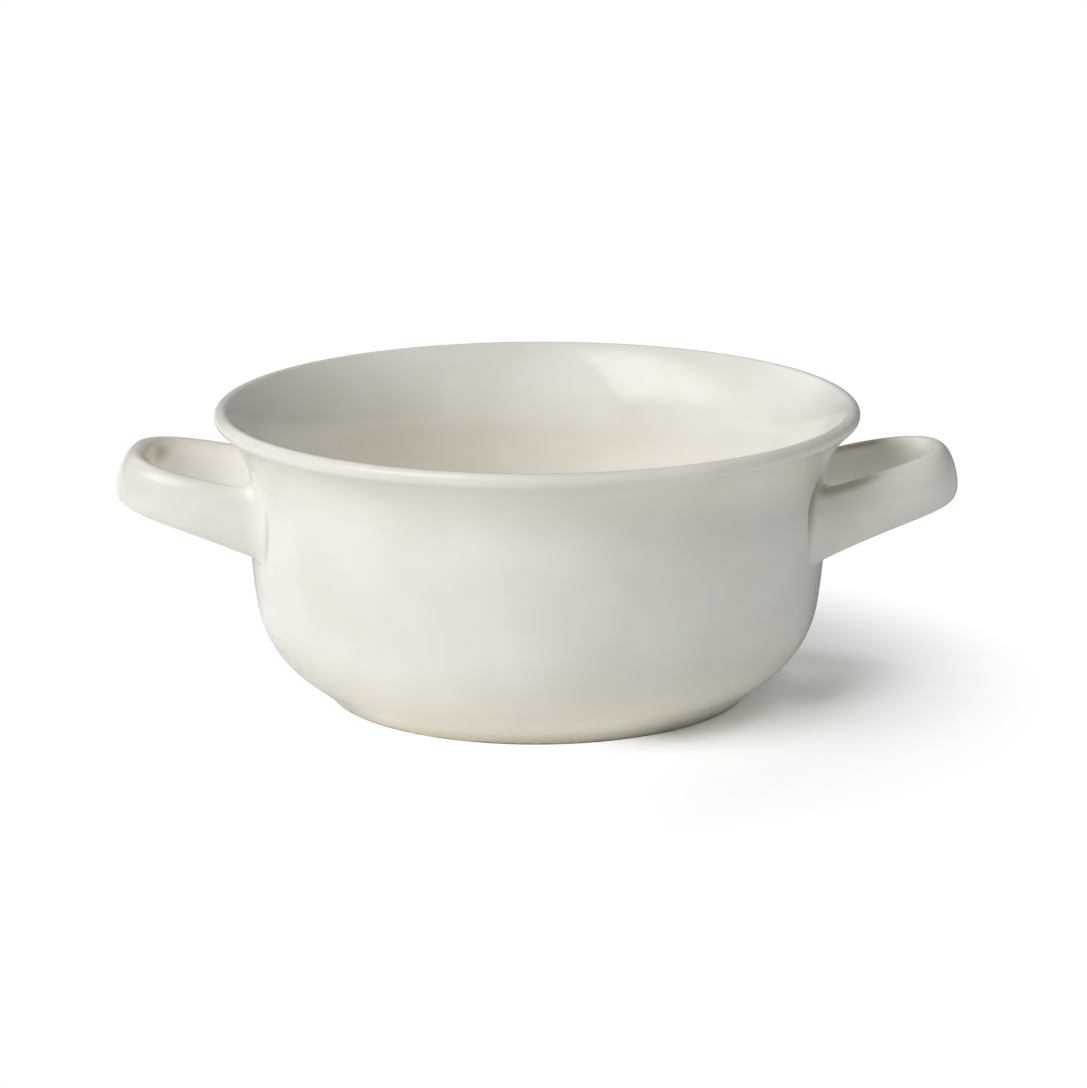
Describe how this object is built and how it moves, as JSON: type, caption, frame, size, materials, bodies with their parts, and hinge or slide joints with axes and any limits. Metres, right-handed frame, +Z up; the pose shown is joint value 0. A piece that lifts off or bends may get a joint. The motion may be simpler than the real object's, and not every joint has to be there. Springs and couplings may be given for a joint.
{
  "type": "french onion soup crock",
  "caption": "Round glazed stoneware soup crock with a flared mouth, a rounded belly on a low foot ring, and looped strap handles on opposite sides.",
  "frame": {"origin": "centre of the foot ring's resting face, on the bowl's axis", "axes": "+Z up along the bowl's axis, X through both handles with +X to the right of a viewer who looks along +Y"},
  "size_m": [0.183, 0.14, 0.0635],
  "materials": {
    "body_glaze": "glossy cream white glaze on stoneware",
    "bare_clay": "bare fired clay, smooth and matt",
    "handle_glaze": "glossy cream white glaze on stoneware",
    "luting_glaze": "glossy cream white glaze, pooled a little thicker in the joint"
  },
  "bodies": {
    "root": {"crock_body": "body_glaze", "foot_ring": "bare_clay", "left_handle": "handle_glaze", "right_handle": "handle_glaze", "left_front_luting": "luting_glaze", "left_back_luting": "luting_glaze", "right_front_luting": "luting_glaze", "right_back_luting": "luting_glaze"}
  },
  "joints": []
}
